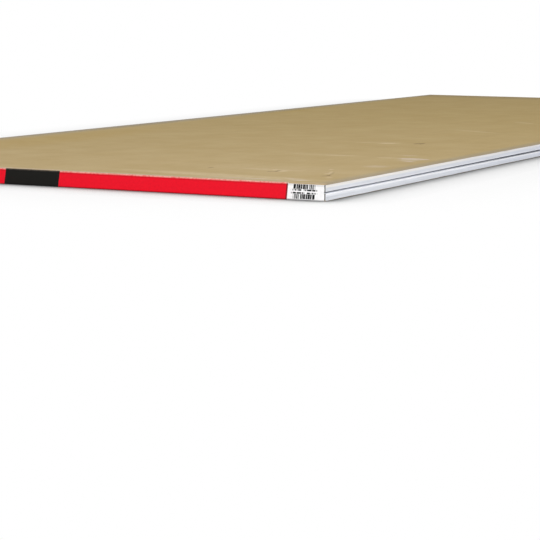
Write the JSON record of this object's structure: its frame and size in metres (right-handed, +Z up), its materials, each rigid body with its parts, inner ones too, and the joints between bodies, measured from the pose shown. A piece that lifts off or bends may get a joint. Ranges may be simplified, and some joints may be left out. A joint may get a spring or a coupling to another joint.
{
  "type": "drywall sheets, a taped pair",
  "caption": "Gypsum drywall sheets with tapered long edges, laid face to face and bound by folded paper tape at each short end.",
  "frame": {"origin": "centre of the box's bottom, on the plane of the tape laps that the pair rests on", "axes": "+Y along the sheets' length, from the near end to the far end, +X across their width, +Z up through their thickness"},
  "size_m": [1.2192, 3.658, 0.0322],
  "materials": {
    "gypsum_board": "tan back paper on the large outer faces, off-white face paper round the tapered long edges, matt",
    "end_tape": "red printed paper tape with a black field and a white field, slightly satin"
  },
  "bodies": {
    "root": {"upper_sheet": "gypsum_board", "lower_sheet": "gypsum_board", "near_end_tape": "end_tape", "far_end_tape": "end_tape"}
  },
  "joints": []
}
